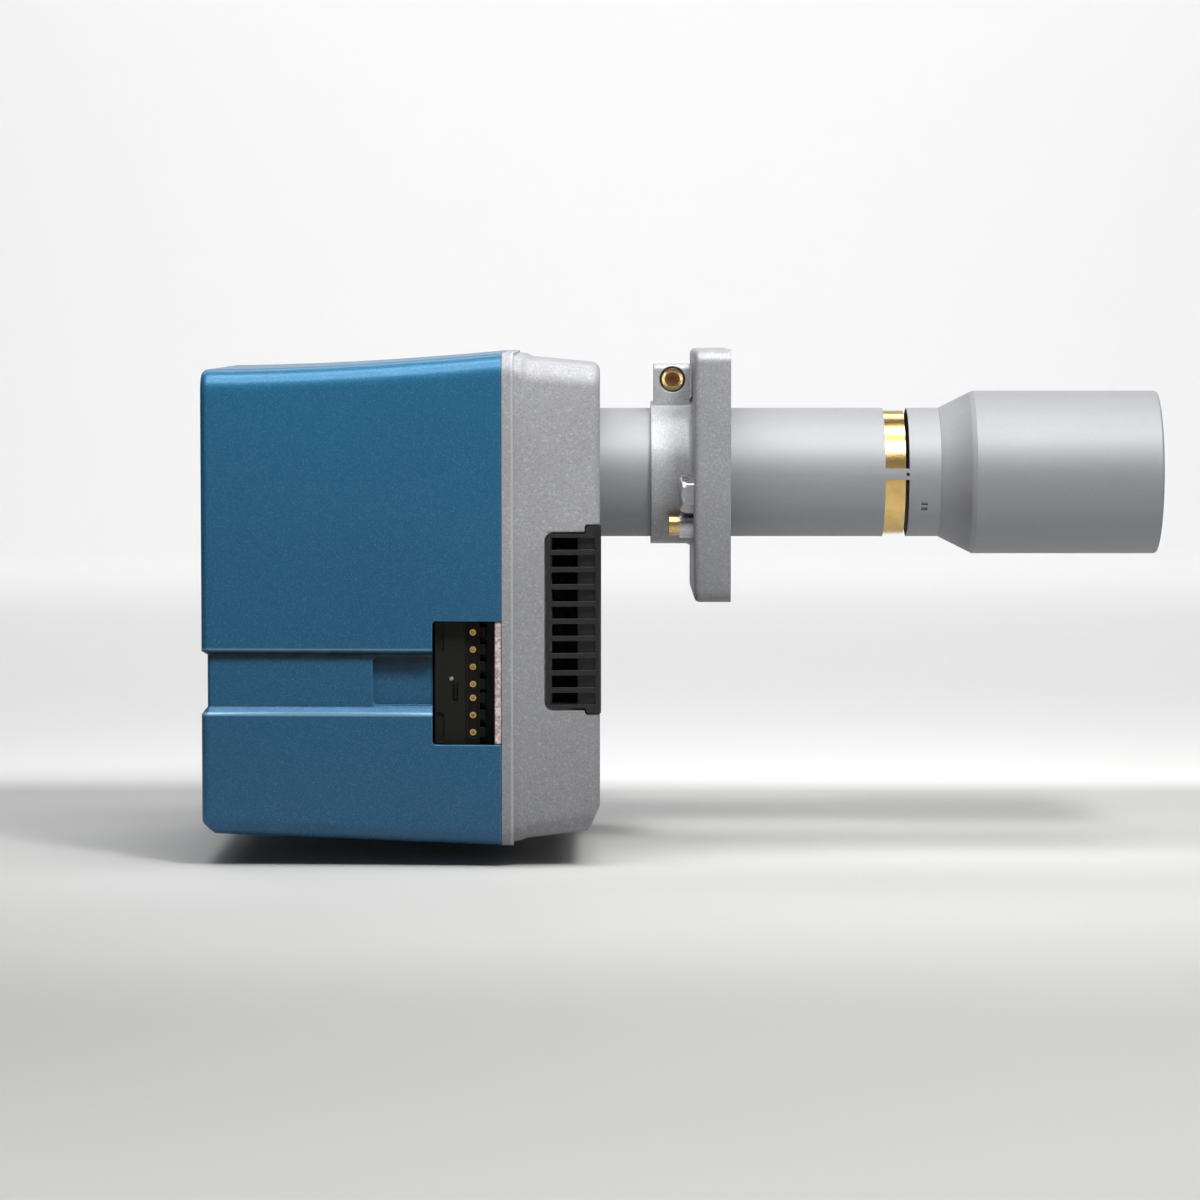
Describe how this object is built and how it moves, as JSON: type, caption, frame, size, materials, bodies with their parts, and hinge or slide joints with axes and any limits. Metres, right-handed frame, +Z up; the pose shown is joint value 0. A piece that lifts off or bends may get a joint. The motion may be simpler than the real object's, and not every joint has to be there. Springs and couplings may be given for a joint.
{
  "type": "oil burner",
  "caption": "Oil burner: blue rear cover and grey cast housing with a side air grille, a clamp flange on its blast tube, recirculation slots and a wider flame tube.",
  "frame": {"origin": "centre of the mounting flange's front face, on the blast tube's axis", "axes": "+X along the blast tube toward the flame, +Z up, -Y is the side with the air grille and the plug socket"},
  "size_m": [0.6615, 0.29, 0.3345],
  "materials": {
    "cover_blue": "blue paint with a fine metallic fleck",
    "casting_grey": "grey textured powder coat",
    "flange_grey": "grey textured powder coat",
    "tube_steel": "satin",
    "flame_steel": "satin",
    "brass": "polished",
    "black_plastic": "fine grained",
    "olive_plastic": "fine grained",
    "yellow_zinc": "yellow passivated zinc",
    "bright_steel": "turned",
    "cast_aluminium": "die cast",
    "sheet_steel": "zinc plated",
    "motor_paint": "satin black",
    "ceramic_white": "glazed",
    "foam": "pale closed cell foam",
    "lamp_pink": "translucent",
    "sight_glass": "clear",
    "copper_red": "enamelled winding and laminations",
    "capacitor_white": "moulded"
  },
  "bodies": {
    "flange": {"clamp_flange": "flange_grey", "clamp_nut": "bright_steel", "flange_hex_plug": "bright_steel", "flange_stop_collar": "bright_steel", "flange_stop_screw": "yellow_zinc"},
    "burner": {"blast_tube": "tube_steel", "flame_tube": "flame_steel", "housing": "casting_grey", "intake_grille": "black_plastic", "cover_pillars": "bright_steel", "foam_strip": "foam", "base_plate": "sheet_steel", "socket_screws": "bright_steel", "pan_head_screws": "bright_steel", "inlet_ring": "sheet_steel", "motor_front_shield": "cast_aluminium", "motor_can": "motor_paint", "motor_capacitor": "capacitor_white", "motor_rear_shield": "cast_aluminium", "bearing_outer_races": "bright_steel", "motor_stator": "copper_red", "pump_body": "cast_aluminium", "pump_cover": "cast_aluminium", "pump_port_fittings": "brass", "valve_stem": "bright_steel", "valve_coil": "black_plastic", "oil_line": "bright_steel", "oil_line_nuts": "brass", "service_cover": "cast_aluminium", "flame_sensor": "black_plastic", "sight_glass": "sight_glass", "nozzle_rod": "bright_steel", "oil_preheater": "cast_aluminium", "nozzle": "brass", "electrode_insulators": "ceramic_white", "electrodes": "bright_steel", "electrode_clamp": "sheet_steel", "mixing_disc": "sheet_steel", "mixing_disc_holder": "sheet_steel", "recirculation_ring": "brass", "control_bracket": "sheet_steel", "control_base": "black_plastic", "burner_control": "olive_plastic", "plug_socket": "black_plastic", "socket_contacts": "brass", "ignition_transformer": "black_plastic", "status_lamp": "lamp_pink"},
    "cover": {"rear_cover": "cover_blue", "cover_screws": "bright_steel"},
    "rotor": {"motor_rotor": "bright_steel", "fan_wheel": "sheet_steel", "fan_grub_screw": "motor_paint", "bearing_inner_races": "bright_steel", "shaft_coupling": "black_plastic", "pump_shaft": "bright_steel"},
    "damper": {"damper_shaft": "bright_steel", "damper_flap": "sheet_steel", "damper_knob": "black_plastic"},
    "clamp_bolt": {"clamp_screw": "yellow_zinc"},
    "button": {"reset_button": "black_plastic"}
  },
  "joints": [
    {"name": "tube_slide", "type": "slide", "parent": "flange", "child": "burner", "axis": [1, 0, 0], "range_m": [-0.08, 0.03]},
    {"name": "cover_slide", "type": "slide", "parent": "burner", "child": "cover", "axis": [-1, 0, 0], "range_m": [0, 0.3]},
    {"name": "fan_spin", "type": "hinge", "parent": "burner", "child": "rotor", "pos_m": [-0.15, 0.03, -0.15], "axis": [1, 0, 0], "continuous": true},
    {"name": "damper_turn", "type": "hinge", "parent": "burner", "child": "damper", "pos_m": [-0.1, -0.078, -0.095], "axis": [1, 0, 0], "range_deg": [0, 80]},
    {"name": "clamp_screw_turn", "type": "hinge", "parent": "flange", "child": "clamp_bolt", "pos_m": [-0.039, 0, 0.0653], "axis": [0, -1, 0], "range_deg": [0, 720]},
    {"name": "reset_press", "type": "slide", "parent": "burner", "child": "button", "axis": [0, 1, 0], "range_m": [0, 0.002], "stiffness_N_per_m": 500}
  ]
}
